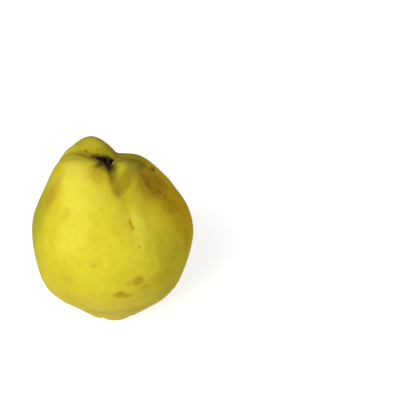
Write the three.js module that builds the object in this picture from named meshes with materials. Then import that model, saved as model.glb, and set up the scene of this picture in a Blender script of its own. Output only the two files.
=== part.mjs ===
import * as THREE from "three";

// A ripe quince that stands on its calyx end, with the stalk pit on top.
// Millimetres, +Z up. The origin lies under the middle of the fruit, on the surface it rests on.
// Longitudes are in degrees, anticlockwise from +X as seen from above.
// A station is a place on the fruit's profile: 0 is the floor of the stalk pit, 17 the floor of
// the calyx basin.

const COLUMNS = 72; // columns of the fruit's surface, round its axis
const ROWS = 47; // rows of the fruit's surface, from pit to basin

// The fruit's profile as [radius, height]: control points of a cubic B-spline.
const PROFILE = [
  [0, 70], // floor of the stalk pit
  [2.4, 70],
  [3.6, 73.5],
  [4.4, 78],
  [6.1, 80.7], // mouth of the pit
  [15.4, 80.9],
  [26.3, 77], // shoulder
  [37.8, 62.3],
  [42.5, 47.7], // widest level
  [39.1, 32.1],
  [32.7, 18.2],
  [23.5, 9.8],
  [16.7, 3.6], // neck of the calyx foot
  [12.6, -1.2],
  [8, -1.2], // sole of the foot, flattened where it rests
  [4.8, 3.5],
  [3, 9],
  [0, 9.5], // floor of the calyx basin
];

const STANDS_AT = [1.425, 0]; // brings the middle of the fruit over the origin
const LEAN = -2.5 / 90; // sideways drift of the axis for each millimetre of height
const PIT_SHIFT = [-1.5, 2.5]; // the pit lies off the axis
const PIT_SHIFT_FADES = [4, 8]; // stations between which that shift dies out
const FOOT_SHIFT = [-2, -1.5]; // the foot lies off the axis too
const FOOT_SHIFT_GROWS = [9, 13]; // stations between which that shift sets in

// Rounded lobes that crowd round the pit. They are height added over the plan of the fruit, with
// half-lengths along and across the line from the pit, and they meet in narrow seams.
const SEAM = 0.7; // roundness of a seam
const LOBES_RISE = [0.5, 4]; // stations in the pit between which the lobes set in
const LOBES_FADE = [5, 9]; // stations down the side between which they die out
const LOBES = [
  { longitude: 121.5, distance: 18, height: 10.8, along: 23, across: 13 }, // the knob
  { longitude: 147, distance: 16.5, height: 7.5, along: 12.5, across: 7.8 }, // flank of the knob
  { longitude: 209, distance: 14, height: 8.4, along: 25, across: 19.2 },
  { longitude: 42, distance: 16.3, height: 2.4, along: 16, across: 12.2 },
  { longitude: 0, distance: 13, height: 3.1, along: 10.5, across: 8.6 },
  { longitude: 320, distance: 8.5, height: 6.9, along: 19, across: 11.8 },
];

// Creases that run out from the pit and fade down the side. A negative depth is a rib.
const CREASES_RISE = [1, 3.5]; // stations in the pit between which the creases set in
const CREASE_CORE = 3; // radius inside which a crease keeps one angular width
const CREASE_FADE = 1.5; // power by which a crease shallows towards its end
const CREASES = [
  { from: 168, to: 175, ends: 6, depth: 2.9, width: 2.4, widens: 2.8 },
  { from: 63, to: 61, ends: 6, depth: 1.5, width: 2.4, widens: 4.6 },
  { from: 11, to: 4, ends: 8, depth: 1.9, width: 2.4, widens: 4.8 },
  { from: 285, to: 296, ends: 8.5, depth: 2.8, width: 1.6, widens: 4.9 },
  { from: 336, to: 338, ends: 11, depth: 1.7, width: 4.3, widens: 13 },
  { from: 312, to: 315, ends: 10.5, depth: -0.5, width: 2.7, widens: 6.3 },
];

// Folds that gather the skin round the calyx basin and part the foot into pads.
const FOLD_STARTS = 12; // radius inside which a fold has its full depth
const FOLDS_RISE = [10, 12]; // stations between which the folds set in
const FOLDS_FADE = [5.5, 1.5]; // radii in the basin between which they die out
const FOLD_OPENS = [0.6, 0.03]; // share of its width at the axis, and share added by each millimetre
const FOLDS = [
  { longitude: 14, depth: 2, width: 2.2, reach: 22 },
  { longitude: 71, depth: 1.8, width: 2, reach: 21 },
  { longitude: 128, depth: 2.2, width: 2.4, reach: 23 },
  { longitude: 197, depth: 1.6, width: 2.2, reach: 19 },
  { longitude: 248, depth: 1.3, width: 2.4, reach: 18 },
  { longitude: 309, depth: 1.2, width: 2.4, reach: 17.5 },
];

// Broad swells and hollows of the flesh.
const SWELLS = [
  { longitude: 193, station: 10, reach: 17.7, amount: 4.3 },
  { longitude: 2, station: 6.4, reach: 14, amount: -2.1 },
  { longitude: 341, station: 10.6, reach: 13.5, amount: 1.4 },
  { longitude: 158, station: 5.9, reach: 10, amount: 3.4 },
  { longitude: 337, station: 7.1, reach: 10.7, amount: 0.8 },
];

// The dry stub of the stalk, as [radius, height above its foot], with ragged prongs at the rim.
const STUB_COLUMNS = 24;
const STUB_FOOT = [-3.6, 2.5, 70.75]; // where it stands in the pit
const STUB_PROFILE = [
  [0, 0],
  [1.2, 0.1],
  [1.7, 0.8],
  [1.8, 2.5],
  [1.6, 5],
  [1.7, 7.5],
  [2.1, 9.5],
  [2.4, 10.6], // rim
  [1.6, 10.4],
  [0.8, 9.2],
  [0, 8.8], // bottom of the broken face
];
const STUB_RIM = 7; // row of the rim in the profile
const PRONG_ROWS = 3; // rows on either side of the rim that a prong draws up
const PRONGS = [
  { longitude: 75, height: 4.6, width: 0.36 },
  { longitude: 150, height: 2.8, width: 0.3 },
  { longitude: 215, height: 1.6, width: 0.4 },
  { longitude: 330, height: 2.2, width: 0.3 },
];

const FLUTES = [
  { count: 5, depth: 0.08 }, // depth as a share of the radius
  { count: 9, depth: 0.05 },
];

// Five dry sepals that close over the calyx basin, as [radius, height, half-width, half-thickness].
const SEPAL_SIDES = 10;
const SEPAL_SECTIONS = [
  [2.2, 8.2, 0.7, 0.25],
  [2.6, 7.2, 1.2, 0.4],
  [3, 5.9, 1.6, 0.4],
  [3.3, 4.5, 1.75, 0.35],
  [3.3, 3.2, 1.55, 0.32],
  [2.8, 2.1, 1.1, 0.3],
  [2, 1.3, 0.65, 0.25],
];
const SEPAL_ENDS = [
  [2.1, 8.5],
  [1.4, 0.9],
];
const SEPAL_LONGITUDES = [10, 84, 153, 228, 299];

const SKIN = new THREE.MeshStandardMaterial({ color: 0xd9c832, roughness: 0.5, metalness: 0 });
const DRY_STALK = new THREE.MeshStandardMaterial({ color: 0x37291a, roughness: 0.9, metalness: 0 });
const DRY_SEPAL = new THREE.MeshStandardMaterial({ color: 0x5e4527, roughness: 0.85, metalness: 0 });

const radians = THREE.MathUtils.degToRad;
const clamp = THREE.MathUtils.clamp;
const rise = (x, [from, to]) => THREE.MathUtils.smoothstep((x - from) / (to - from), 0, 1);
const bell = (x) => Math.exp(-x * x);
const turnBetween = (a, b) => Math.atan2(Math.sin(a - b), Math.cos(a - b));

// A point on the cubic B-spline of the given control points, which starts and ends on the first
// and the last of them.
function onSpline(points, station) {
  const last = points.length - 1;
  const k = clamp(Math.floor(station), 0, last - 1);
  const s = station - k;
  const weights = [
    (1 - s) ** 3 / 6,
    (3 * s ** 3 - 6 * s ** 2 + 4) / 6,
    (-3 * s ** 3 + 3 * s ** 2 + 3 * s + 1) / 6,
    s ** 3 / 6,
  ];
  const control = (i) => {
    if (i < 0) return points[0].map((value, axis) => 2 * value - points[1][axis]);
    if (i > last) return points[last].map((value, axis) => 2 * value - points[last - 1][axis]);
    return points[i];
  };
  return [0, 1].map((axis) =>
    weights.reduce((sum, weight, i) => sum + weight * control(k - 1 + i)[axis], 0),
  );
}

// The profile's outward direction at a station, as [outward, upward].
function profileNormal(station) {
  const step = 1e-3;
  const last = PROFILE.length - 1;
  const [r0, z0] = onSpline(PROFILE, Math.max(station - step, 0));
  const [r1, z1] = onSpline(PROFILE, Math.min(station + step, last));
  const length = Math.hypot(r1 - r0, z1 - z0);
  return [(z0 - z1) / length, (r1 - r0) / length];
}

// Height that the lobes add at a place in plan: the smooth greatest of their domes and zero.
function lobeHeight(x, y, station) {
  const domes = LOBES.reduce((sum, lobe) => {
    const a = radians(lobe.longitude);
    const along = (x * Math.cos(a) + y * Math.sin(a) - lobe.distance) / lobe.along;
    const across = (y * Math.cos(a) - x * Math.sin(a)) / lobe.across;
    return sum + Math.exp((lobe.height * (1 - along ** 2 - across ** 2)) / SEAM);
  }, 1);
  return SEAM * Math.log(domes) * rise(station, LOBES_RISE) * (1 - rise(station, LOBES_FADE));
}

// How far a crease moves the skin out along its normal.
function creaseDepth(radius, longitude, station) {
  return CREASES.reduce((sum, crease) => {
    const mouth = CREASES_RISE[1];
    const s = clamp((station - mouth) / (crease.ends - mouth), 0, 1);
    const line = radians(crease.from + (crease.to - crease.from) * s);
    const width = crease.width + (crease.widens - crease.width) * s;
    const aside = Math.max(radius, CREASE_CORE) * turnBetween(longitude, line);
    const fade = (1 - s) ** CREASE_FADE * rise(station, CREASES_RISE);
    return sum - crease.depth * fade * bell(aside / width);
  }, 0);
}

// How far a fold moves the skin. It narrows towards the basin.
function foldDepth(radius, longitude, station) {
  const gathers = rise(station, FOLDS_RISE) * (1 - rise(radius, FOLDS_FADE));
  return FOLDS.reduce((sum, fold) => {
    const run = clamp((fold.reach - radius) / (fold.reach - FOLD_STARTS), 0, 1);
    const fade = run * gathers;
    const width = fold.width * (FOLD_OPENS[0] + FOLD_OPENS[1] * radius);
    const aside = radius * turnBetween(longitude, radians(fold.longitude));
    return sum - fold.depth * fade * bell(aside / width);
  }, 0);
}

// How far the swells move the skin at a place on the plain body.
function swellAmount(x, y, z) {
  return SWELLS.reduce((sum, swell) => {
    const a = radians(swell.longitude);
    const [r, height] = onSpline(PROFILE, swell.station);
    const away = Math.hypot(x - r * Math.cos(a), y - r * Math.sin(a), z - height);
    return sum + swell.amount * bell(away / swell.reach);
  }, 0);
}

// A point of the fruit's skin. The sole is cut level at zero height, where the fruit rests.
function skinPoint(station, longitude) {
  const [radius, height] = onSpline(PROFILE, station);
  const [outward, upward] = profileNormal(station);
  const x = radius * Math.cos(longitude);
  const y = radius * Math.sin(longitude);
  const moved =
    creaseDepth(radius, longitude, station) +
    foldDepth(radius, longitude, station) +
    swellAmount(x, y, height);
  const r = radius + moved * outward;
  const z = height + moved * upward + lobeHeight(x, y, station);
  const atPit = 1 - rise(station, PIT_SHIFT_FADES);
  const atFoot = rise(station, FOOT_SHIFT_GROWS);
  return new THREE.Vector3(
    r * Math.cos(longitude) + LEAN * z + PIT_SHIFT[0] * atPit + FOOT_SHIFT[0] * atFoot,
    r * Math.sin(longitude) + PIT_SHIFT[1] * atPit + FOOT_SHIFT[1] * atFoot,
    Math.max(z, 0),
  );
}

// A closed surface from a first point, rings of equally many points and a last point. Each ring
// runs anticlockwise as seen from the first point's side.
function closedSurface(first, rings, last) {
  const columns = rings[0].length;
  const points = [first, ...rings.flat(), last];
  const at = (row, column) => 1 + row * columns + (column % columns);
  const index = [];
  for (let column = 0; column < columns; column += 1) {
    index.push(0, at(0, column), at(0, column + 1));
    for (let row = 0; row < rings.length - 1; row += 1) {
      index.push(at(row, column), at(row + 1, column), at(row + 1, column + 1));
      index.push(at(row, column), at(row + 1, column + 1), at(row, column + 1));
    }
    index.push(points.length - 1, at(rings.length - 1, column + 1), at(rings.length - 1, column));
  }
  const geometry = new THREE.BufferGeometry().setFromPoints(points);
  geometry.setIndex(index);
  geometry.computeVertexNormals();
  return geometry;
}

const turn = (i, count) => (i / count) * 2 * Math.PI;
const count = (n) => Array.from({ length: n }, (_, i) => i);

function fruitGeometry() {
  const last = PROFILE.length - 1;
  const rings = count(ROWS - 1).map((row) =>
    count(COLUMNS).map((column) =>
      skinPoint(((row + 1) / ROWS) * last, turn(column, COLUMNS)),
    ),
  );
  return closedSurface(skinPoint(0, 0), rings, skinPoint(last, 0));
}

// The stub is round and lightly fluted, and its rim is drawn up into prongs.
function stubGeometry() {
  const point = (row, longitude) => {
    const [radius, height] = STUB_PROFILE[row];
    const nearRim = 1 - rise(Math.abs(row - STUB_RIM), [0, PRONG_ROWS]);
    const prong = PRONGS.reduce((sum, { longitude: at, height: tip, width }) => {
      return sum + tip * bell(turnBetween(longitude, radians(at)) / width);
    }, 0);
    const flute = FLUTES.reduce((sum, { count: waves, depth }) => {
      return sum + depth * Math.cos(waves * longitude);
    }, 1);
    return new THREE.Vector3(
      radius * flute * Math.cos(longitude),
      radius * flute * Math.sin(longitude),
      height + prong * nearRim,
    );
  };
  const rings = count(STUB_PROFILE.length - 2).map((row) =>
    count(STUB_COLUMNS).map((column) => point(row + 1, turn(-column, STUB_COLUMNS))),
  );
  return closedSurface(point(0, 0), rings, point(STUB_PROFILE.length - 1, 0));
}

// A sepal is a thin blade wrapped round the axis of the basin: its section is a flat oval.
function sepalGeometry() {
  const rings = SEPAL_SECTIONS.map(([radius, height, halfWidth, halfThickness]) =>
    count(SEPAL_SIDES).map((side) => {
      const a = turn(-side, SEPAL_SIDES);
      const r = radius + halfThickness * Math.sin(a);
      const round = (halfWidth * Math.cos(a)) / radius;
      return new THREE.Vector3(r * Math.cos(round), r * Math.sin(round), height);
    }),
  );
  const [base, tip] = SEPAL_ENDS.map(([radius, height]) => new THREE.Vector3(radius, 0, height));
  return closedSurface(base, rings, tip);
}

function named(name, geometry, material) {
  const mesh = new THREE.Mesh(geometry, material);
  mesh.name = name;
  return mesh;
}

const quince = new THREE.Group();
quince.name = "quince";
quince.position.set(STANDS_AT[0], STANDS_AT[1], 0);
quince.add(named("fruit", fruitGeometry(), SKIN));

const stub = named("stem_stub", stubGeometry(), DRY_STALK);
stub.position.set(...STUB_FOOT);
quince.add(stub);

SEPAL_LONGITUDES.forEach((longitude, i) => {
  const sepal = named(`sepal_${i + 1}`, sepalGeometry(), DRY_SEPAL);
  sepal.position.set(FOOT_SHIFT[0], FOOT_SHIFT[1], 0);
  sepal.rotation.z = radians(longitude);
  quince.add(sepal);
});

const root = new THREE.Group();
root.add(quince);

export default root;
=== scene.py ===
import bpy
import numpy as np
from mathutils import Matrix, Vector


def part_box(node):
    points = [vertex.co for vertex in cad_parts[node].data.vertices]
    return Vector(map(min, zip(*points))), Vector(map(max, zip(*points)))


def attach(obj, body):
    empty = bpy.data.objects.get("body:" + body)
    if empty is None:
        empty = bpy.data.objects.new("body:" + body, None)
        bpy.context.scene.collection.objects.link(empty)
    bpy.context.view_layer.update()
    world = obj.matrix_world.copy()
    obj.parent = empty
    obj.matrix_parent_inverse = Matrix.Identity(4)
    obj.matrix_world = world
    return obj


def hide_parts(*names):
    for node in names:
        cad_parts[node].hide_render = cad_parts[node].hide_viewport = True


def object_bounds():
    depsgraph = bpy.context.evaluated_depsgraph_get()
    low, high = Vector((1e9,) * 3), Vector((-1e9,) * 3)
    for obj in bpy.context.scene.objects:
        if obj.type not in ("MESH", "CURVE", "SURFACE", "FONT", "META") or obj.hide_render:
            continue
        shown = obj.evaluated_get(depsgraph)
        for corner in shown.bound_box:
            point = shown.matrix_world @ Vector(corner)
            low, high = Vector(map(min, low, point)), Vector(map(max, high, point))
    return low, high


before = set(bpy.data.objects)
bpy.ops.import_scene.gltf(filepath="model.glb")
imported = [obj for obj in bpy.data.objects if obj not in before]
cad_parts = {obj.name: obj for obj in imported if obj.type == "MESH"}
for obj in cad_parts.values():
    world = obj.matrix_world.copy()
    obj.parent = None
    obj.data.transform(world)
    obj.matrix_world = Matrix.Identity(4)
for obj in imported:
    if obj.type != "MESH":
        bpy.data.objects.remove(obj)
cad_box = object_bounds()

# ---- The fruit ---------------------------------------------------------------------------------
# A ripe quince, grown as one piece: smooth waxy yellow skin over firm flesh. Crowded lobes close
# round the stalk pit, creases run down from it, and the skin gathers in folds round the calyx
# basin underneath.

MM = 0.001
FRUIT_COLUMNS = 384
FRUIT_ROWS = 256

# Sizes are in millimetres, longitudes in degrees anticlockwise from +X, and a station is a place
# on the profile, from 0 on the pit's floor to 17 on the basin's floor. Where a name says that
# something rises, grows or fades, its two values are where that starts and where it ends.
PROFILE = np.array([  # distance from the axis, height
    (0, 70), (2.4, 70), (3.6, 73.5), (4.4, 78), (6.1, 80.7),  # the stalk pit and its mouth
    (15.4, 80.9), (26.3, 77), (37.8, 62.3), (42.5, 47.7),  # the shoulder and the widest level
    (39.1, 32.1), (32.7, 18.2), (23.5, 9.8), (16.7, 3.6),  # down to the neck of the foot
    (12.6, -1.2), (8, -1.2),  # the sole
    (4.8, 3.5), (3, 9), (0, 9.5),  # the calyx basin
])
LAST_STATION = len(PROFILE) - 1

LEAN = -2.5 / 90  # sideways over upwards
PIT_SHIFT = (-1.5, 2.5)
PIT_SHIFT_FADES = (4, 8)
FOOT_SHIFT = (-2.0, -1.5)
FOOT_SHIFT_GROWS = (9, 13)

SEAM = 0.7  # how softly neighbouring lobes run together
LOBES_RISE = (0.5, 4)
LOBES_FADE = (5, 9)
LOBES = (  # longitude, distance, height, half-length along and across the line from the pit
    (121.5, 18, 10.8, 23, 13),
    (147, 16.5, 7.5, 12.5, 7.8),
    (209, 14, 8.4, 25, 19.2),
    (42, 16.3, 2.4, 16, 12.2),
    (0, 13, 3.1, 10.5, 8.6),
    (320, 8.5, 6.9, 19, 11.8),
)

CREASES_RISE = (1, 3.5)
CREASE_CORE = 3  # least distance from the axis at which a crease's width is measured
CREASE_FADE = 1.5  # power by which a crease dies out towards its end
CREASES = (  # longitude at the pit and at the end, last station, depth, width at the pit and end
    (168, 175, 6, 2.9, 2.4, 2.8),
    (63, 61, 6, 1.5, 2.4, 4.6),
    (11, 4, 8, 1.9, 2.4, 4.8),
    (285, 296, 8.5, 2.8, 1.6, 4.9),
    (336, 338, 11, 1.7, 4.3, 13),
    (312, 315, 10.5, -0.5, 2.7, 6.3),
)

FOLD_STARTS = 12
FOLDS_RISE = (10, 12)
FOLDS_FADE = (5.5, 1.5)
FOLD_WIDENS = (0.6, 0.03)  # share of its width at the axis, and more for each millimetre out
FOLDS = (  # longitude, depth, width, reach
    (14, 2, 2.2, 22),
    (71, 1.8, 2, 21),
    (128, 2.2, 2.4, 23),
    (197, 1.6, 2.2, 19),
    (248, 1.3, 2.4, 18),
    (309, 1.2, 2.4, 17.5),
)

SWELLS = (  # longitude, station, reach, amount
    (193, 10, 17.7, 4.3),
    (2, 6.4, 14, -2.1),
    (341, 10.6, 13.5, 1.4),
    (158, 5.9, 10, 3.4),
    (337, 7.1, 10.7, 0.8),
)

# The pit's grime and painted shade: dark paint spreading from the pit, partly dirt and partly
# painted shade for the shadow that falls into the pit and under the front lobe.
GRIME_AND_SHADE_FADES = (3.0, 4.3)
GRIME_AND_SHADE_TOWARDS = 268  # the longitude to which the pit's grime and painted shade reach farthest
GRIME_AND_SHADE_FARTHER = 0.9  # how many stations farther it reaches there
GRIME_AND_SHADE_RUNS = 0.4  # and how many more along a deep crease
DEEP_CREASE = 3.0  # the depth at which a crease is darkened fully, by stain and painted shade
CREASE_STAIN_AND_SHADE = 1.6  # how many times narrower than the crease its stain and painted shade are
CREASE_GRIME_AND_SHADE = 0.6  # and how many times narrower the grime and painted shade that run along it are
FOLD_STAIN = 3.0  # how many times narrower than the fold its stain is
PIT_SHADE_FADES = (2.2, 4.0)
DOWN_AND_SHEEN_RISES = (8.6, 11.2)
BASIN_RISES = (12.5, 15.5)

RIPPLE_SEED = 11
RIPPLE_WAVES = 28
RIPPLE_LENGTHS = (8, 26)  # shortest and longest wave
RIPPLE_DEPTH = 0.1
RIPPLES_RISE = (2, 5)
RIPPLES_LIFT = (0.2, 6)  # heights above the sole between which they set in


def on_spline(points, station):
    """Cubic B-spline through the control polygon, ends held by mirroring the first and last step:
    each place is the four nearest points weighted by the cubic blending polynomials."""
    ends = [2 * points[:1] - points[1:2], points, 2 * points[-1:] - points[-2:-1]]
    control = np.concatenate(ends)
    first = np.clip(np.floor(station).astype(int), 0, len(points) - 2)
    s = (station - first)[..., None]
    weights = ((1 - s) ** 3, 3 * s**3 - 6 * s**2 + 4, -3 * s**3 + 3 * s**2 + 3 * s + 1, s**3)
    return sum(w * control[first + i] for i, w in enumerate(weights)) / 6


def profile_normal(station):
    """The profile's step over a small change of station, turned a quarter turn outwards."""
    step = 1e-3
    ahead = on_spline(PROFILE, np.minimum(station + step, LAST_STATION))
    behind = on_spline(PROFILE, np.maximum(station - step, 0))
    run = ahead - behind
    run /= np.hypot(run[..., 0], run[..., 1])[..., None]
    return -run[..., 1], run[..., 0]


def rise(x, bounds):
    """0 before the first bound and 1 past the second, with a smooth cubic step between."""
    s = np.clip((x - bounds[0]) / (bounds[1] - bounds[0]), 0, 1)
    return s * s * (3 - 2 * s)


def bell(x):
    """e to the power of minus x squared."""
    return np.exp(-x * x)


def turn_between(a, b):
    """The signed angle from b to a, taken the short way round."""
    return (a - b + np.pi) % (2 * np.pi) - np.pi


def lobe_domes(x, y):
    """For each lobe e to the power of its dome over the seam width, where a dome is its height
    times one minus the squared distances along and across, in half-lengths."""
    domes = []
    for longitude, distance, height, along, across in LOBES:
        a = np.radians(longitude)
        u = (x * np.cos(a) + y * np.sin(a) - distance) / along
        v = (y * np.cos(a) - x * np.sin(a)) / across
        domes.append(np.exp(height * (1 - u * u - v * v) / SEAM))
    return np.array(domes)


def crease_runs(radius, longitude, station):
    """For each crease its strength, fading from the pit to its end, and the distance from its
    line in crease widths."""
    mouth = CREASES_RISE[1]
    grows = rise(station, CREASES_RISE)
    for begin, end, ends, depth, width, widens in CREASES:
        s = np.clip((station - mouth) / (ends - mouth), 0, 1)
        line = np.radians(begin + (end - begin) * s)
        aside = np.maximum(radius, CREASE_CORE) * turn_between(longitude, line)
        yield depth, (1 - s) ** CREASE_FADE * grows, aside / (width + (widens - width) * s)


def fold_runs(radius, longitude, station):
    """For each fold its strength, fading along the base and in the basin, and the distance from
    its line in fold widths."""
    gathers = rise(station, FOLDS_RISE) * (1 - rise(radius, FOLDS_FADE))
    for centre, depth, width, reach in FOLDS:
        run = np.clip((reach - radius) / (reach - FOLD_STARTS), 0, 1) * gathers
        aside = radius * turn_between(longitude, np.radians(centre))
        yield depth, run, aside / (width * (FOLD_WIDENS[0] + FOLD_WIDENS[1] * radius))


def swell_amount(x, y, z):
    """Sum of round bells about points of the plain body."""
    total = 0
    for longitude, station, reach, amount in SWELLS:
        radius, height = on_spline(PROFILE, np.array([float(station)]))[0]
        a = np.radians(longitude)
        away = (x - radius * np.cos(a)) ** 2 + (y - radius * np.sin(a)) ** 2 + (z - height) ** 2
        total = total + amount * np.exp(-away / reach**2)
    return total


def ripples(points, seed, waves, lengths, depth):
    """Sum of plane sine waves in space with random directions, lengths and phases."""
    draw = np.random.default_rng(seed)
    heading = draw.normal(size=(waves, 3))
    heading /= np.linalg.norm(heading, axis=1)[:, None]
    length = draw.uniform(lengths[0], lengths[1], waves)
    phase = draw.uniform(0, 2 * np.pi, waves)
    angles = points @ (heading * (2 * np.pi / length)[:, None]).T + phase
    return depth * np.sin(angles).sum(axis=-1) * np.sqrt(2 / waves)


def grid_normals(points):
    """Cross product of the steps down and round the grid, made unit length."""
    down = np.gradient(points, axis=0)
    around = np.roll(points, -1, axis=1) - np.roll(points, 1, axis=1)
    normals = np.cross(down, around)
    return normals / (np.linalg.norm(normals, axis=-1)[..., None] + 1e-12)


def even_stations(rows):
    """Stations spaced half by length along the profile and half by station."""
    fine_steps = 4000
    fine = np.linspace(0, LAST_STATION, fine_steps)
    steps = np.linalg.norm(np.diff(on_spline(PROFILE, fine), axis=0), axis=1)
    travelled = np.concatenate([[0], np.cumsum(steps + steps.mean())])
    return np.interp(np.linspace(0, travelled[-1], rows + 1), travelled, fine)


def skin_surface(station, longitude):
    """The profile turned about the axis, moved along its normal by creases, folds and swells,
    raised by the lobes, leaned and shifted in plan, and cut level at the sole. Returns the points
    and how strongly the stain and painted shade of a crease and of a seam between lobes, a fold,
    and the pit's grime and painted shade show at each."""
    profile = on_spline(PROFILE, station)
    radius, height = profile[..., 0], profile[..., 1]
    outward, upward = profile_normal(station)
    x, y = radius * np.cos(longitude), radius * np.sin(longitude)
    moved = swell_amount(x, y, height)
    crease_stain_and_shade_line, fold_line, runs = np.zeros_like(x), np.zeros_like(x), np.zeros_like(x)
    for depth, strength, aside in crease_runs(radius, longitude, station):
        moved = moved - depth * strength * bell(aside)
        # A crease's darkening is partly stain and partly painted shade in its hollow.
        stain_and_shade_here = depth / DEEP_CREASE * strength * bell(CREASE_STAIN_AND_SHADE * aside)
        crease_stain_and_shade_line = np.maximum(crease_stain_and_shade_line, stain_and_shade_here)
        runs = np.maximum(runs, depth / DEEP_CREASE * bell(CREASE_GRIME_AND_SHADE * aside))
    for depth, strength, aside in fold_runs(radius, longitude, station):
        moved = moved - depth * strength * bell(aside)
        fold_line = np.maximum(fold_line, strength * bell(FOLD_STAIN * aside))
    domes = lobe_domes(x, y)
    grown = rise(station, LOBES_RISE) * (1 - rise(station, LOBES_FADE))
    knob = domes[:2].sum(axis=0, keepdims=True)  # two lobes grown into one, with no stain or painted shade between them
    second = np.sort(np.concatenate([knob, domes[2:]]), axis=0)[-2]
    # The seam between two lobes is darkened, partly stain and partly painted shade in the hollow.
    seam_stain_and_shade_line = 2 * second / (1 + domes.sum(axis=0)) * grown
    r = radius + moved * outward
    z = height + moved * upward + SEAM * np.log(1 + domes.sum(axis=0)) * grown
    at_pit = 1 - rise(station, PIT_SHIFT_FADES)
    at_foot = rise(station, FOOT_SHIFT_GROWS)
    points = np.stack([
        r * np.cos(longitude) + LEAN * z + PIT_SHIFT[0] * at_pit + FOOT_SHIFT[0] * at_foot,
        r * np.sin(longitude) + PIT_SHIFT[1] * at_pit + FOOT_SHIFT[1] * at_foot,
        np.maximum(z, 0),
    ], axis=-1)
    # The pit's grime and painted shade, reaching farther on one side and down the deep creases.
    farther = GRIME_AND_SHADE_FARTHER * np.cos(longitude - np.radians(GRIME_AND_SHADE_TOWARDS))
    grime_and_shade = 1 - rise(station - farther - GRIME_AND_SHADE_RUNS * runs, GRIME_AND_SHADE_FADES)
    return points, crease_stain_and_shade_line, seam_stain_and_shade_line, fold_line, grime_and_shade


def fitted(points, low, high):
    """The points stretched so that their box is the box from low to high."""
    flat = points.reshape(-1, 3)
    share = (points - flat.min(axis=0)) / (flat.max(axis=0) - flat.min(axis=0))
    return share * (np.array(high) - np.array(low)) + np.array(low)


def closed_piece(name, grid, values=None):
    """A mesh object from a grid of points whose first and last rows each fall together in one
    point: a fan at either end and four-sided faces between neighbouring rows."""
    rows, columns = grid.shape[:2]
    points = np.concatenate([grid[0, :1], grid[1:-1].reshape(-1, 3), grid[-1, :1]])
    here = 1 + np.arange((rows - 2) * columns).reshape(rows - 2, columns)
    beside = np.roll(here, -1, axis=1)
    end = np.full(columns, len(points) - 1)
    sides = np.stack([here[:-1], here[1:], beside[1:], beside[:-1]], axis=-1).reshape(-1, 4)
    caps = [np.stack([end * 0, here[0], beside[0]], -1), np.stack([end, beside[-1], here[-1]], -1)]
    mesh = bpy.data.meshes.new(name)
    mesh.from_pydata(points.tolist(), [], sides.tolist() + caps[0].tolist() + caps[1].tolist())
    mesh.polygons.foreach_set("use_smooth", np.ones(len(mesh.polygons), bool))
    for key, value in (values or {}).items():
        layer = mesh.attributes.new(key, "FLOAT", "POINT")
        flat = np.concatenate([value[0, :1], value[1:-1].reshape(-1), value[-1, :1]])
        layer.data.foreach_set("value", flat.astype(np.float32))
    mesh.update()
    piece = bpy.data.objects.new(name, mesh)
    bpy.context.scene.collection.objects.link(piece)
    return piece


stations = even_stations(FRUIT_ROWS)
turns = np.arange(FRUIT_COLUMNS) / FRUIT_COLUMNS * 2 * np.pi
station_grid, turn_grid = np.meshgrid(stations, turns, indexing="ij")
skin, crease_stain_and_shade_line, seam_stain_and_shade_line, fold_line, grime_and_shade = skin_surface(station_grid, turn_grid)
free_skin = rise(station_grid, RIPPLES_RISE) * rise(skin[..., 2], RIPPLES_LIFT)
rippled = ripples(skin, RIPPLE_SEED, RIPPLE_WAVES, RIPPLE_LENGTHS, RIPPLE_DEPTH) * free_skin
skin = skin + grid_normals(skin) * rippled[..., None]
skin = fitted(skin * MM, *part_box("fruit"))

fruit = closed_piece("fruit_skin", skin, {
    "crease_stain_and_shade": np.maximum(crease_stain_and_shade_line, seam_stain_and_shade_line),
    "fold": fold_line,
    "grime_and_shade": grime_and_shade,
    "pit": 1 - rise(station_grid, PIT_SHADE_FADES),
    # Pale down near the foot, partly painted sheen along the lower rim.
    "down": rise(station_grid, DOWN_AND_SHEEN_RISES),
    "basin": rise(station_grid, BASIN_RISES),
})


def srgb(red, green, blue):
    """A screen colour from 0 to 255 as linear light with full alpha."""
    share = np.array([red, green, blue]) / 255
    linear = np.where(share <= 0.04045, share / 12.92, ((share + 0.055) / 1.055) ** 2.4)
    return (*linear.tolist(), 1.0)


def new_finish(name):
    """An empty material with its shader: returns the material, its node tree and the shader."""
    material = bpy.data.materials.new(name)
    material.use_nodes = True
    shader = material.node_tree.nodes["Principled BSDF"]
    return material, material.node_tree, shader


def add_node(tree, kind, inputs=None, **settings):
    """A node with its settings and inputs, where an input is a value or another node's output."""
    node = tree.nodes.new(kind)
    for key, value in settings.items():
        setattr(node, key, value)
    for key, value in (inputs or {}).items():
        if isinstance(value, bpy.types.NodeSocket):
            tree.links.new(value, node.inputs[key])
        else:
            node.inputs[key].default_value = value
    return node


def place(tree):
    """The piece's own coordinates, in metres."""
    return add_node(tree, "ShaderNodeTexCoord").outputs["Object"]


def carried(tree, key):
    """A value stored on the piece's points."""
    return add_node(tree, "ShaderNodeAttribute", attribute_name=key).outputs["Fac"]


def stretched(tree, scale):
    """The piece's own coordinates, scaled in height: a small scale draws a pattern out upwards."""
    inputs = {"Vector": place(tree), "Scale": (1, 1, scale)}
    return add_node(tree, "ShaderNodeMapping", inputs).outputs["Vector"]


def noise(tree, vector, scale, detail, roughness, distortion=0.0):
    """Cloudy noise from 0 to 1 with features about one over scale wide, in metres."""
    inputs = {"Vector": vector, "Scale": scale, "Detail": detail, "Roughness": roughness,
              "Distortion": distortion}
    return add_node(tree, "ShaderNodeTexNoise", inputs).outputs["Fac"]


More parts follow.
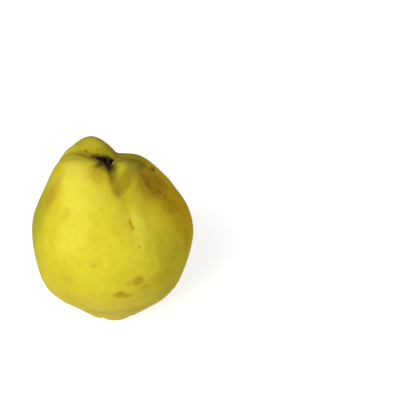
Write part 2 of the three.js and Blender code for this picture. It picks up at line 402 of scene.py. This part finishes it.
def span(tree, value, low, high, to_low=0.0, to_high=1.0):
    """The value stretched from one range to another, held at its ends, with a smooth step."""
    inputs = {"Value": value, "From Min": low, "From Max": high}
    inputs.update({"To Min": to_low, "To Max": to_high})
    node = add_node(tree, "ShaderNodeMapRange", inputs, interpolation_type="SMOOTHSTEP")
    return node.outputs["Result"]


def maths(tree, operation, *values):
    """One arithmetic step on one or two values."""
    step = add_node(tree, "ShaderNodeMath", dict(enumerate(values)), operation=operation)
    return step.outputs[0]


def tinted(tree, share, colour, tint):
    """The colour blended with a tint by a share. Inputs 6 and 7 are the two colours' sockets."""
    inputs = {"Factor": share, 6: colour, 7: tint}
    return add_node(tree, "ShaderNodeMix", inputs, data_type="RGBA").outputs[2]


def bumped(tree, height, relief, under=None):
    """A surface normal that follows the height, over an earlier normal. The relief is its depth
    and how strongly it shows."""
    depth, strength = relief
    inputs = {"Height": height, "Distance": depth * MM, "Strength": strength}
    if under is not None:
        inputs["Normal"] = under
    return add_node(tree, "ShaderNodeBump", inputs).outputs["Normal"]


def skin_place(longitude, station):
    """The skin's nearest grid point and its outward direction."""
    row = np.abs(stations - station).argmin()
    column = round(longitude / 360 * FRUIT_COLUMNS) % FRUIT_COLUMNS
    return skin[row, column], grid_normals(skin)[row, column]


BLOTCH_REACH = 2  # how many times larger than the mark its gradient is
BLOTCH_DEPTH = 3  # how many times the mark's longer side the gradient goes into the fruit
BLOTCH_RISES = (0.35, 0.8)  # the gradient's values at the mark's edge and where it is whole


def blotch(tree, vector, ragged, mark):
    """A soft oval on the skin at a mark, from a round gradient wider than the mark: the mark's
    strength in the middle and 0 past its edge, which a ragged value breaks up."""
    longitude, station, across, along, strength = mark
    centre, normal = skin_place(longitude, station)
    turn = Vector(normal).to_track_quat("X", "Z").to_euler()
    depth = BLOTCH_DEPTH * max(across, along)
    size = (depth * MM, BLOTCH_REACH * across * MM, BLOTCH_REACH * along * MM)
    inputs = {"Vector": vector, "Location": centre.tolist(), "Rotation": turn, "Scale": size}
    local = add_node(tree, "ShaderNodeMapping", inputs, vector_type="TEXTURE").outputs["Vector"]
    oval = add_node(tree, "ShaderNodeTexGradient", {"Vector": local}, gradient_type="SPHERICAL")
    near = maths(tree, "SUBTRACT", oval.outputs["Fac"], ragged)
    return span(tree, near, *BLOTCH_RISES, 0.0, strength)


def blotches(tree, vector, ragged, marks):
    """The strongest of several soft ovals."""
    share = blotch(tree, vector, ragged, marks[0])
    for mark in marks[1:]:
        share = maths(tree, "MAXIMUM", share, blotch(tree, vector, ragged, mark))
    return share


# Marks on the skin: longitude, station, half-width round the fruit, half-height and strength. A
# later list lies over an earlier one, and a lit lip takes the pit's grime and painted shade away.
# Orange on the right side, partly the skin's own blush and partly painted warm light thrown back
# onto it by a neighbouring fruit; the embers are its strongest part at the edge.
BLUSH_AND_BOUNCE = (
    (352, 7.0, 20, 24, 0.8),
    (2, 6.0, 16, 12, 0.6),
    (25, 9.2, 16, 14, 0.3),
    (120, 9.0, 18, 15, 0.3),
)
EMBERS_AND_BOUNCE = (
    (358, 7.1, 9, 19, 0.8),
    (352, 6.0, 9, 8, 0.6),
    (5, 6.5, 10, 12, 0.7),
    (20, 7.0, 12, 12, 0.4),
)
# Greener skin, partly its own tone and partly painted shade on the knob, beside the pit and on the
# left.
GREENISH_AND_SHADE = (
    (130, 4.9, 19, 17, 0.55),
    (298, 4.7, 4.5, 5.5, 0.4),
    (301, 4.3, 3, 3, 0.75),
    (193, 7.5, 14, 24, 0.85),
    (80, 6.0, 14, 14, 0.4),
)
# Painted light: paler yellow patches where the skin faces the lamp, and a soft painted highlight.
PAINTED_LIGHT_BANDS = (
    (228, 5.6, 11, 9, 0.6),
    (236, 6.3, 9, 9, 0.55),
    (296, 6.9, 3.2, 11, 0.4),
    (240, 7.3, 7, 14, 0.4),
    (60, 7.6, 8, 14, 0.3),
    (163, 5.3, 7, 5, 0.2),
    (256, 6.0, 7, 7, 0.4),
    (118, 4.45, 4.5, 4.5, 0.25),
    (251, 6.8, 4, 10, 0.4),
)
# Painted shade: dull darker olive where the skin lies in a hollow or turns away from the lamp.
PAINTED_SHADE_BANDS = (
    (310, 7.7, 4.5, 12, 0.4),
    (319, 7.8, 4.5, 13, 0.35),
    (333, 7.0, 12, 10, 0.2),
    (20, 5.3, 8, 6, 0.35),
    (215, 4.85, 10, 2.5, 0.3),
    (209, 6.5, 7, 10, 0.3),
    (314, 8.7, 8, 8, 0.3),
    (306, 6.3, 5, 9, 0.3),
    (322, 7.7, 4, 12, 0.3),
    (309, 5.75, 5, 6, 0.25),
    (279, 6.7, 3.5, 6, 0.12),
    (316, 7.0, 3.5, 10, 0.15),
    (314, 8.2, 4, 5, 0.15),
    (340, 8.0, 5, 9, 0.2),
    (203, 4.58, 6, 1.8, 0.9),
    (304, 7.4, 5, 12, 0.25),
    (290.5, 5.05, 3.2, 5, 0.8),
    (297, 5.45, 4.5, 9, 0.95),
    (301, 5.9, 5, 8, 0.35),
    (32, 3.75, 5, 2, 0.8),
    (93, 3.75, 4.5, 3, 0.45),
    (38, 4.9, 12, 8, 0.8),
    (8, 4.7, 8, 4, 0.4),
    (95, 6.8, 8, 10, 0.25),
)
# Brownish patches, partly bruising and partly painted shade on the shoulder turned from the lamp.
BROWNED_AND_SHADE = (
    (326, 5.9, 9, 9, 0.5),
    (352, 5.95, 11, 8, 0.55),
    (338, 6.6, 8, 6, 0.2),
    (357, 5.4, 7, 4, 0.25),
    (300, 9.1, 9, 9, 0.15),
    (132, 5.0, 19, 14, 0.14),
)
RUSSET = (
    (257, 5.15, 5.5, 5.5, 0.55),
    (262, 4.75, 4, 3.2, 0.6),
    (209.5, 6.5, 4, 7, 0.6),
    (211, 6.0, 3, 5, 0.3),
    (233, 6.63, 2.6, 4, 0.35),
    (260.5, 7.95, 2.2, 1.7, 0.4),
    (238.2, 8.69, 4, 3, 0.25),
    (258, 10.7, 9, 4, 0.25),
    (236, 9.8, 9, 6, 0.25),
    (290, 10.4, 7, 3, 0.25),
    (322, 9.6, 8, 6, 0.2),
    (165, 4.9, 7, 3, 0.15),
    (70, 8.4, 2.4, 4, 0.45),
    (76, 8.0, 1.8, 1.4, 0.4),
    (142, 7.2, 5, 4, 0.45),
)
BRUISES = (
    (329.8, 5.83, 2.2, 3.0, 0.5),
    (332, 5.55, 1.7, 2.0, 0.45),
    (339.2, 6.2, 2.4, 1.9, 0.5),
    (341, 6.42, 2.2, 1.4, 0.4),
    (17, 5.81, 2.8, 1.6, 0.8),
    (3, 5.2, 5, 1.0, 0.6),
    (352, 5.15, 4, 0.8, 0.5),
    (20, 5.42, 4, 1.0, 0.35),
    (284.5, 5.7, 1.2, 2.6, 0.12),
    (15, 5.15, 1.0, 5, 0.6),
    (110, 7.9, 3.2, 2.0, 0.7),
    (48, 9.3, 2.4, 1.8, 0.6),
)
SMUDGES = (
    (290.8, 8.62, 3.0, 3.6, 0.7),
    (285, 8.7, 2.6, 2.0, 0.25),
    (277.5, 9.18, 3.2, 2.6, 0.75),
    (281.8, 9.26, 3.6, 1.9, 0.55),
    (296, 9.0, 3.0, 2.0, 0.3),
)
RUST = (
    (290.3, 6.7, 0.75, 1.7, 0.75),
    (291.2, 6.85, 0.95, 1.4, 0.7),
    (293.2, 7.44, 1.0, 0.8, 0.4),
    (298.5, 7.61, 0.7, 0.6, 0.3),
    (284.5, 5.72, 0.8, 1.6, 0.35),
    (84, 6.6, 1.0, 1.5, 0.7),
    (155, 8.1, 0.9, 0.9, 0.7),
)
# Lit lips: where a lip of the pit's mouth catches the light, its painted shade and grime are taken
# away.
LIT_LIPS = (
    (304, 3.85, 2.4, 2.8, 0.75),
    (62, 3.05, 1.8, 2.4, 0.5),
)
# Dark specks; the two long ones beside the pit are painted shade along its lower lip.
SPECKS_AND_LIP_SHADE = (
    (269.8, 7.56, 0.5, 0.5, 0.35),
    (157.8, 4.54, 0.8, 0.8, 0.5),
    (134, 3.8, 0.6, 0.6, 0.5),
    (17, 5.85, 0.6, 0.5, 0.8),
    (259, 4.42, 5, 1.5, 0.75),
    (250, 4.72, 3, 0.7, 0.4),
)

# The skin's patterns: features to the metre, detail, roughness and distortion.
CLOUD = (55, 4, 0.55, 0.6)
WARMTH = (150, 4, 0.6, 0.4)
MOTTLE = (260, 3, 0.6)
GRIT = (900, 3, 0.65)
STREAKS = (520, 3, 0.6, 0.3)
STREAK_STRETCH = 0.18
PORE_SCALE = 420.0
PATTERN_MIDDLE = (0.3, 0.7)  # most of a pattern's values lie between these,
PATTERN_REACH = (0.2, 0.8)  # and nearly all of them between these

# How patterns become shares of a tint: the values where it starts and where it is whole, and
# its shares there.
FRECKLES = (0.5, 0.75, 0.0, 0.7)
PORES = (0.16, 0.07, 0.0, 0.35)  # the values are distances from the pore, in pore spacings
WORN_GRAIN = (0.3, 0.7, 0.55, 1.0)
GRIME_AND_SHADE_FILM = (0.1, 0.7, 0.0, 0.75)
GRIME_AND_SHADE_CRUST = (0.5, 1.1, 0.0, 0.95)
PIT_SHADE_BLACK = (0.35, 0.8, 0.0, 1.0)

# How a carried value is broken up by a pattern: the least and the most that is left of it.
DOWN_AND_SHEEN_LEFT = (0.3, 0.55)
CREASE_STAIN_AND_SHADE_LEFT = (0.35, 0.65)
FOLD_LEFT = (0.5, 1.0)

# How far a pattern pushes an edge in and out, as a share of what the edge is drawn from.
SOFT_EDGE = 0.15
RAGGED_EDGE_MOTTLE = 0.175
RAGGED_EDGE_GRIT = 0.125
GRIME_AND_SHADE_EDGE = 0.2
PIT_SHADE_EDGE = 0.3

SKIN_YELLOWS = (srgb(233, 219, 48), srgb(228, 210, 40))
CLOUDY_TINTS = (  # pattern, its values where the tint starts and is whole, strength, tint
    ("warmth", 0.5, 0.8, 0.45, (230, 190, 24)),
    ("warmth", 0.5, 0.2, 0.5, (214, 216, 60)),
    ("mottle", 0.45, 0.8, 0.4, (210, 186, 18)),
    ("streaks", 0.45, 0.75, 0.3, (238, 226, 90)),
    ("grit", 0.4, 0.7, 0.35, (216, 199, 74)),
)
SOFT_MARKS = (  # the blush and its painted warm light come first, because its freckles lie over it
    (BLUSH_AND_BOUNCE, (244, 204, 14)),
    (EMBERS_AND_BOUNCE, (246, 190, 8)),
    (GREENISH_AND_SHADE, (184, 178, 38)),
    (PAINTED_LIGHT_BANDS, (250, 236, 82)),
    (PAINTED_SHADE_BANDS, (166, 146, 26)),
    (BROWNED_AND_SHADE, (164, 118, 18)),
)
WORN_MARKS = (
    (RUSSET, (191, 142, 32)),
    (BRUISES, (140, 56, 22)),
    (SMUDGES, (168, 110, 22)),
)
FRECKLE_TINT = srgb(206, 140, 16)
DOWN_AND_SHEEN_TINT = srgb(236, 214, 120)
PORE_TINT = srgb(186, 158, 40)
CREASE_STAIN_AND_SHADE_TINT = srgb(108, 94, 16)
RUST_TINT = srgb(204, 120, 36)
GRIME_AND_SHADE_FILM_TINT = srgb(116, 92, 22)
GRIME_AND_SHADE_CRUST_TINT = srgb(44, 38, 14)
FOLD_TINT = srgb(150, 84, 24)
SPECK_AND_SHADE_TINT = srgb(66, 62, 20)
PIT_SHADE_TINT = srgb(30, 26, 10)
BASIN_TINT = srgb(96, 66, 28)

MOTTLE_RELIEF = (0.25, 0.5)  # depth and how strongly it shows
GRIT_RELIEF = (0.08, 0.5)
SUNKEN_RELIEF = (0.2, 0.6)
SKIN_GLOSS = 0.06
SKIN_DULLNESS = (0.66, 0.78)  # roughness at the least and the most of the mottle
DRY_DULLNESS = 0.15  # and how much rougher the dry marks are
FLESH_SHARE = 0.12  # how much of the light goes through the flesh
FLESH_REACH = 3  # how far it goes, and the share of that in red, green and blue
FLESH_REACH_SHARES = (1.0, 0.55, 0.12)


def wavering(tree, pattern, amount):
    """A pattern spread evenly over an amount either side of nothing."""
    return span(tree, pattern, *PATTERN_REACH, -amount, amount)


def broken_up(tree, key, pattern, left):
    """A value stored on the piece's points, times a pattern spread from the least to the most."""
    kept = span(tree, pattern, *PATTERN_MIDDLE, *left)
    return maths(tree, "MULTIPLY", carried(tree, key), kept)


def skin_finish():
    """Waxy yellow skin: cloudy yellows and faint streaks, warmer on one side from blush and
    painted warm bounce light, painted shade along the hollows and turned-away sides, painted light
    on lobes that face the lamp, small pores, russet, bruises and rust spots, pale down with
    painted sheen near the foot, creases darkened by stain and painted shade, and a pit painted
    black for its dark tissue and its shade."""
    material, tree, shader = new_finish("quince_skin")
    at = place(tree)
    upwards = stretched(tree, STREAK_STRETCH)
    cloud = noise(tree, at, *CLOUD)
    warmth = noise(tree, at, *WARMTH)
    mottle = noise(tree, at, *MOTTLE)
    grit = noise(tree, at, *GRIT)
    streaks = noise(tree, upwards, *STREAKS)
    patterns = {"warmth": warmth, "mottle": mottle, "grit": grit, "streaks": streaks}
    soft_edge = wavering(tree, cloud, SOFT_EDGE)
    ragged_edge = maths(tree, "ADD", wavering(tree, mottle, RAGGED_EDGE_MOTTLE),
                        wavering(tree, grit, RAGGED_EDGE_GRIT))

    colour = tinted(tree, span(tree, cloud, *PATTERN_MIDDLE), *SKIN_YELLOWS)
    for pattern, starts, whole, strength, tint in CLOUDY_TINTS:
        share = span(tree, patterns[pattern], starts, whole, 0, strength)
        colour = tinted(tree, share, colour, srgb(*tint))
    soft = []
    for marks, tint in SOFT_MARKS:
        soft.append(blotches(tree, at, soft_edge, marks))
        colour = tinted(tree, soft[-1], colour, srgb(*tint))
    freckles = maths(tree, "MULTIPLY", soft[0], span(tree, mottle, *FRECKLES))
    colour = tinted(tree, freckles, colour, FRECKLE_TINT)
    # Pale down near the foot, partly painted sheen along the lower rim.
    colour = tinted(tree, broken_up(tree, "down", warmth, DOWN_AND_SHEEN_LEFT), colour, DOWN_AND_SHEEN_TINT)
    cells = add_node(tree, "ShaderNodeTexVoronoi", {"Vector": at, "Scale": PORE_SCALE})
    pores = span(tree, cells.outputs["Distance"], *PORES)
    colour = tinted(tree, pores, colour, PORE_TINT)

    # Creases and seams darkened: partly stain, partly painted shade in the hollows.
    colour = tinted(tree, broken_up(tree, "crease_stain_and_shade", mottle, CREASE_STAIN_AND_SHADE_LEFT), colour, CREASE_STAIN_AND_SHADE_TINT)
    grain = span(tree, grit, *WORN_GRAIN)
    worn = []
    for marks, tint in WORN_MARKS:
        worn.append(maths(tree, "MULTIPLY", blotches(tree, at, ragged_edge, marks), grain))
        colour = tinted(tree, worn[-1], colour, srgb(*tint))
    russet, bruise, smudge = worn
    colour = tinted(tree, blotches(tree, at, ragged_edge, RUST), colour, RUST_TINT)

    # The pit's grime and painted shade, taken away where a lip of the mouth is lit.
    grime_and_shade = maths(tree, "ADD", carried(tree, "grime_and_shade"), wavering(tree, mottle, GRIME_AND_SHADE_EDGE))
    grime_and_shade = maths(tree, "SUBTRACT", grime_and_shade, blotches(tree, at, soft_edge, LIT_LIPS))
    colour = tinted(tree, span(tree, grime_and_shade, *GRIME_AND_SHADE_FILM), colour, GRIME_AND_SHADE_FILM_TINT)
    colour = tinted(tree, span(tree, grime_and_shade, *GRIME_AND_SHADE_CRUST), colour, GRIME_AND_SHADE_CRUST_TINT)
    colour = tinted(tree, broken_up(tree, "fold", mottle, FOLD_LEFT), colour, FOLD_TINT)
    # Dark specks, with painted shade along the pit's lower lip.
    colour = tinted(tree, blotches(tree, at, ragged_edge, SPECKS_AND_LIP_SHADE), colour, SPECK_AND_SHADE_TINT)
    # The pit painted nearly black: partly its dark tissue, partly painted shade deep inside it.
    pit = maths(tree, "ADD", carried(tree, "pit"), maths(tree, "MULTIPLY", mottle, PIT_SHADE_EDGE))
    pit = span(tree, pit, *PIT_SHADE_BLACK)
    colour = tinted(tree, pit, colour, PIT_SHADE_TINT)
    colour = tinted(tree, carried(tree, "basin"), colour, BASIN_TINT)
    tree.links.new(colour, shader.inputs["Base Color"])

    dry = maths(tree, "MAXIMUM", maths(tree, "MAXIMUM", russet, bruise),
                maths(tree, "MAXIMUM", smudge, pit))
    dull = maths(tree, "ADD", span(tree, mottle, *PATTERN_REACH, *SKIN_DULLNESS),
                 maths(tree, "MULTIPLY", dry, DRY_DULLNESS))
    tree.links.new(dull, shader.inputs["Roughness"])
    sunken = maths(tree, "SUBTRACT", 1.0, maths(tree, "ADD", bruise, pores))
    normal = bumped(tree, mottle, MOTTLE_RELIEF)
    normal = bumped(tree, grit, GRIT_RELIEF, normal)
    normal = bumped(tree, sunken, SUNKEN_RELIEF, normal)
    tree.links.new(normal, shader.inputs["Normal"])
    shader.inputs["Specular IOR Level"].default_value = SKIN_GLOSS
    shader.inputs["Subsurface Weight"].default_value = FLESH_SHARE
    shader.inputs["Subsurface Radius"].default_value = FLESH_REACH_SHARES
    shader.inputs["Subsurface Scale"].default_value = FLESH_REACH * MM
    return material


fruit.data.materials.append(skin_finish())
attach(fruit, "root")
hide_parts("fruit")

# ---- The stub of the stalk ---------------------------------------------------------------------
# What is left of the stalk after picking: a short woody stub, dry and nearly black, that stands in
# the pit and splits into ragged prongs at its broken rim.

STUB_ROWS = 90
STUB_COLUMNS = 120
STUB_PROFILE = np.array([  # distance from the stub's axis, height
    (0, 0), (1.2, 0.1), (1.7, 0.8), (1.8, 2.5), (1.6, 5), (1.7, 7.5), (2.1, 9.5),
    (2.4, 10.6), (1.6, 10.4), (0.8, 9.2), (0, 8.8),
])
STUB_RIM = 7  # the rim's place on the profile, and how far from it a prong reaches
PRONG_ROWS = 3
PRONGS = (  # longitude, height, width as an angle
    (75, 4.6, 0.36),
    (150, 2.8, 0.3),
    (215, 1.6, 0.4),
    (330, 2.2, 0.3),
)
FIBRE = (2600, 4, 0.65)  # features to the metre, detail, roughness
FIBRE_STRETCH = 0.15
FIBRE_COLOURS = (srgb(26, 18, 12), srgb(78, 54, 36))
FIBRE_MIDDLE = (0.35, 0.7)  # the pattern's values at the one colour and at the other
FIBRE_RELIEF = (0.15, 0.8)
FIBRE_DULLNESS = 0.9
FIBRE_WAVES = ((5, 0.08), (9, 0.05), (23, 0.03), (37, 0.02))  # number round, depth over radius


def stub_surface(row, longitude):
    """A small lathed shape with fluted sides, whose rim is drawn up into bell-shaped prongs."""
    profile = on_spline(STUB_PROFILE, row)
    radius, height = profile[..., 0], profile[..., 1]
    near_rim = 1 - rise(np.abs(row - STUB_RIM), (0, PRONG_ROWS))
    for centre, tip, width in PRONGS:
        aside = turn_between(longitude, np.radians(centre)) / width
        height = height + tip * near_rim * bell(aside)
    flute = 1 + sum(depth * np.cos(count * longitude + depth) for count, depth in FIBRE_WAVES)
    radius = radius * flute
    return np.stack([radius * np.cos(longitude), radius * np.sin(longitude), height], axis=-1)


stub_rows = np.linspace(0, len(STUB_PROFILE) - 1, STUB_ROWS + 1)
stub_turns = -np.arange(STUB_COLUMNS) / STUB_COLUMNS * 2 * np.pi
stub_grid = stub_surface(*np.meshgrid(stub_rows, stub_turns, indexing="ij"))
stub = closed_piece("stalk_stub", fitted(stub_grid, *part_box("stem_stub")))


def stalk_finish():
    """Dry fibre: nearly black brown with paler streaks along the stalk."""
    material, tree, shader = new_finish("dry_stalk_fibre")
    fibre = noise(tree, stretched(tree, FIBRE_STRETCH), *FIBRE)
    colour = tinted(tree, span(tree, fibre, *FIBRE_MIDDLE), *FIBRE_COLOURS)
    tree.links.new(colour, shader.inputs["Base Color"])
    shader.inputs["Roughness"].default_value = FIBRE_DULLNESS
    tree.links.new(bumped(tree, fibre, FIBRE_RELIEF), shader.inputs["Normal"])
    return material


stub.data.materials.append(stalk_finish())
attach(stub, "root")
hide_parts("stem_stub")

# ---- The sepals --------------------------------------------------------------------------------
# Five dry brown sepals, left from the flower, that close over the basin underneath. Each is a thin
# leathery blade, cupped round the basin's axis and a little crumpled.

SEPAL_ROWS = 60
SEPAL_SIDES = 48
SEPAL_LONGITUDES = (10, 84, 153, 228, 299)
SEPAL_SPINE = np.array([  # radius, height, half-width, half-thickness
    (2.1, 8.5, 0, 0), (2.2, 8.2, 0.7, 0.25), (2.6, 7.2, 1.2, 0.4), (3, 5.9, 1.6, 0.4),
    (3.3, 4.5, 1.75, 0.35), (3.3, 3.2, 1.55, 0.32), (2.8, 2.1, 1.1, 0.3), (2, 1.3, 0.65, 0.25),
    (1.4, 0.9, 0, 0),
])
CRUMPLE = (0.12, 2.6)  # depth over half-width, and radians from one spine point to the next
RAGGED = (0.06, 4.3)
LEAF_MOTTLE = (900, 4, 0.6)  # features to the metre, detail, roughness
VEINS = (2400, 3, 0.6)
VEIN_STRETCH = 0.12
LEAF_COLOURS = (srgb(84, 58, 32), srgb(132, 98, 56))
VEIN_TINT = srgb(52, 34, 18)
VEIN_SHARES = (0.5, 0.75, 0.0, 0.7)
VEIN_RELIEF = (0.12, 0.8)
LEAF_DULLNESS = 0.85


def sepal_surface(row, side, longitude, number):
    """A flat oval carried down the sepal's spine and wrapped round the basin's axis, with its
    edges crumpled by waves that differ from sepal to sepal."""
    spine = on_spline(SEPAL_SPINE, row)
    radius, height, half_width, half_thickness = np.moveaxis(spine, -1, 0)
    crumple = CRUMPLE[0] * np.sin(CRUMPLE[1] * row + number) * np.cos(side) ** 2
    r = radius + half_thickness * np.sin(side) + crumple * half_width
    ragged = 1 + RAGGED[0] * np.sin(RAGGED[1] * row + 2 * number) * np.cos(side)
    around = half_width * ragged * np.cos(side) / radius
    turn = around + np.radians(longitude)
    return np.stack([r * np.cos(turn), r * np.sin(turn), height], axis=-1)


def sepal_finish():
    """Dry leaf: two browns in clouds, with darker veins drawn out along the blade."""
    material, tree, shader = new_finish("dry_sepal_leaf")
    mottle = noise(tree, place(tree), *LEAF_MOTTLE)
    vein = noise(tree, stretched(tree, VEIN_STRETCH), *VEINS)
    colour = tinted(tree, span(tree, mottle, *PATTERN_MIDDLE), *LEAF_COLOURS)
    colour = tinted(tree, span(tree, vein, *VEIN_SHARES), colour, VEIN_TINT)
    tree.links.new(colour, shader.inputs["Base Color"])
    shader.inputs["Roughness"].default_value = LEAF_DULLNESS
    tree.links.new(bumped(tree, vein, VEIN_RELIEF), shader.inputs["Normal"])
    return material


sepal_leaf = sepal_finish()
blade_rows = np.linspace(0, len(SEPAL_SPINE) - 1, SEPAL_ROWS + 1)
blade_sides = -np.arange(SEPAL_SIDES) / SEPAL_SIDES * 2 * np.pi
blade_grid = np.meshgrid(blade_rows, blade_sides, indexing="ij")
for number, longitude in enumerate(SEPAL_LONGITUDES):
    node = f"sepal_{number + 1}"
    blade = sepal_surface(*blade_grid, longitude, number)
    sepal = closed_piece(f"calyx_{node}", fitted(blade, *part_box(node)))
    sepal.data.materials.append(sepal_leaf)
    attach(sepal, "root")
    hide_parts(node)

# ---- The floor and the light -------------------------------------------------------------------
# A plain white table under a large soft lamp from the front left, a weak one from the right and an
# even white room. The floor keeps the fruit's shadow, and past it the room is white.

FLOOR_HALF = 3.0
FLOOR_WHITE = (0.82, 0.82, 0.82, 1)
FLOOR_LIFT = (0.7, 1.0)  # what the floor adds for the eye alone, near the fruit and far off
FLOOR_LIFT_REACH = (0.05, 0.3)  # and how near and how far off that is
ROOM_LIGHT = 0.215
LAMP_DISTANCE = 1.2
LAMP_SIZE = 0.7
LAMPS = (  # name, direction towards the lamp, watts
    ("soft_lamp", Vector((-0.36, -0.81, 0.47)).normalized(), 10.3),
    ("fill_lamp", Vector((0.96, 0, 0.3)).normalized(), 1.1),
)


def seen_white(tree):
    """1 for rays that carry the background to the eye, straight, mirrored or through glass."""
    rays = add_node(tree, "ShaderNodeLightPath").outputs
    mirrored = maths(tree, "MAXIMUM", rays["Is Camera Ray"], rays["Is Glossy Ray"])
    return maths(tree, "MAXIMUM", mirrored, rays["Is Transmission Ray"])


def floor_finish():
    """Matt white that keeps its shadows, with some white light of its own for the eye alone."""
    material, tree, shader = new_finish("white_table")
    shader.inputs["Base Color"].default_value = FLOOR_WHITE
    shader.inputs["Roughness"].default_value = 1.0
    shader.inputs["Specular IOR Level"].default_value = 0.0
    away = add_node(tree, "ShaderNodeVectorMath", {0: place(tree)}, operation="LENGTH")
    lift = span(tree, away.outputs["Value"], *FLOOR_LIFT_REACH, *FLOOR_LIFT)
    glow = maths(tree, "MULTIPLY", seen_white(tree), lift)
    shader.inputs["Emission Color"].default_value = (1, 1, 1, 1)
    tree.links.new(glow, shader.inputs["Emission Strength"])
    return material


floor_mesh = bpy.data.meshes.new("floor")
corners = [(x * FLOOR_HALF, y * FLOOR_HALF, 0) for x, y in ((-1, -1), (1, -1), (1, 1), (-1, 1))]
floor_mesh.from_pydata(corners, [], [(0, 1, 2, 3)])
floor_mesh.materials.append(floor_finish())
floor = bpy.data.objects.new("floor", floor_mesh)
bpy.context.scene.collection.objects.link(floor)

middle = (cad_box[0] + cad_box[1]) / 2
for lamp_name, direction, watts in LAMPS:
    lamp_data = bpy.data.lights.new(lamp_name, "AREA")
    lamp_data.shape = "DISK"
    lamp_data.size = LAMP_SIZE
    lamp_data.energy = watts
    lamp = bpy.data.objects.new(lamp_name, lamp_data)
    lamp.location = middle + direction * LAMP_DISTANCE
    lamp.rotation_euler = direction.to_track_quat("Z", "Y").to_euler()
    bpy.context.scene.collection.objects.link(lamp)

room = bpy.data.worlds.new("white_room")
room.use_nodes = True
room_tree = room.node_tree
room_back = room_tree.nodes["Background"]
room_back.inputs["Color"].default_value = (1, 1, 1, 1)
room_light = span(room_tree, seen_white(room_tree), 0, 1, ROOM_LIGHT, 1.0)
room_tree.links.new(room_light, room_back.inputs["Strength"])
bpy.context.scene.world = room
bpy.context.scene.view_settings.view_transform = "Standard"

# ---- The camera --------------------------------------------------------------------------------
# A long lens from the front, looking down on the fruit at a slant. It is aimed to the right of
# the fruit's middle and above it, so that the fruit stands on the left.

ELEVATION = np.radians(27)
CAMERA_DISTANCE = 0.6005
LENS = 105.3
SENSOR = 36
NEAREST = 0.01
AIM_RIGHT = 0.0446
AIM_ABOVE = 0.0154

ahead = Vector((0, np.cos(ELEVATION), -np.sin(ELEVATION)))
right = Vector((1, 0, 0))
above = right.cross(ahead)
camera_data = bpy.data.cameras.new("camera")
camera_data.lens = LENS
camera_data.sensor_width = SENSOR
camera_data.clip_start = NEAREST
camera = bpy.data.objects.new("camera", camera_data)
camera.location = middle + right * AIM_RIGHT + above * AIM_ABOVE - ahead * CAMERA_DISTANCE
camera.rotation_euler = ahead.to_track_quat("-Z", "Y").to_euler()
bpy.context.scene.collection.objects.link(camera)
bpy.context.scene.camera = camera
